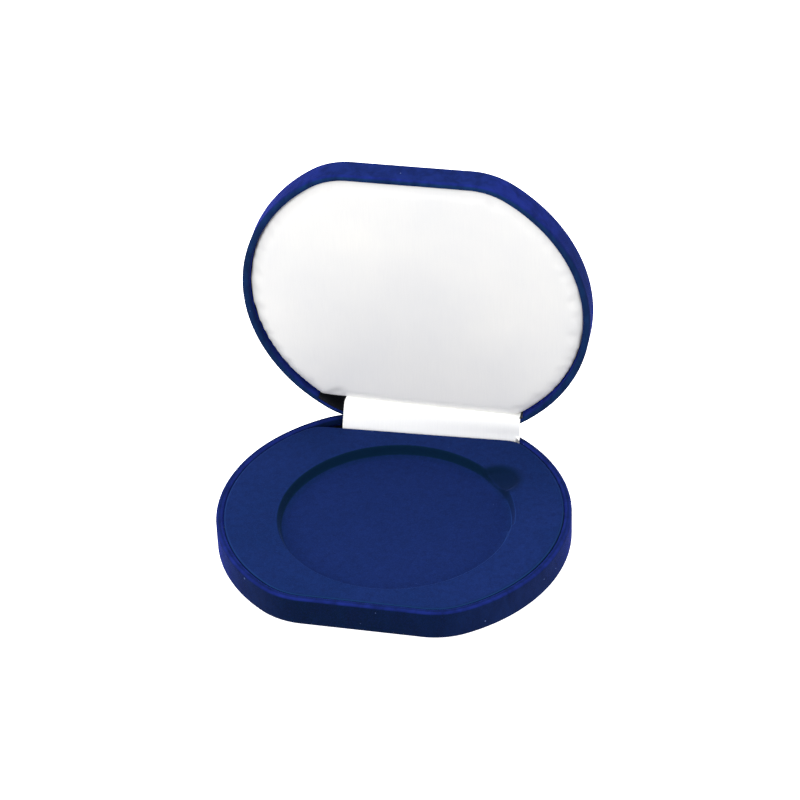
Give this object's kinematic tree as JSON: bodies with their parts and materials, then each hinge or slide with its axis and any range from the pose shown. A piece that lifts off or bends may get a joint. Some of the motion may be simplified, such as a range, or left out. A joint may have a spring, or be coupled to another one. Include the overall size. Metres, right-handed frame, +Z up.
{
  "type": "medal presentation case",
  "caption": "Hinged velvet-covered case, opened flat-sided oval, with a flocked tray recess and finger notch for one medal or large coin and a white satin pad in the lid.",
  "frame": {"origin": "centre of the case's outline, on the flat underside of the base", "axes": "+Z up out of the base, +X to the right along the hinge, +Y to the back where the hinge is; the lid stands open"},
  "size_m": [0.1086, 0.0992, 0.1063],
  "materials": {
    "velvet": "short dense pile",
    "flock": "flocked",
    "felt": "felt",
    "satin": "satin weave",
    "foam": "soft foam",
    "card": "grey card",
    "black_plastic": "moulded",
    "steel": "plated strip"
  },
  "bodies": {
    "base": {"base_shell": "black_plastic", "base_cover": "velvet", "base_underside": "felt", "tray_insert": "flock", "recess_support": "card", "base_hinge_leaf": "steel", "base_hinge_rivets": "steel", "hinge_pin": "steel", "hinge_spring": "steel", "hinge_ribbon": "satin"},
    "lid": {"lid_shell": "black_plastic", "lid_cover": "velvet", "lid_hinge_leaf": "steel", "lid_hinge_rivets": "steel", "pad_board": "card", "pad_foam": "foam", "pad_satin": "satin"}
  },
  "joints": [
    {"name": "lid_hinge", "type": "hinge", "parent": "base", "child": "lid", "pos_m": [0, 0.04527, 0.0132], "axis": [1, 0, 0], "range_deg": [0, 84.4], "deforming": ["hinge_ribbon", "hinge_spring"]}
  ]
}
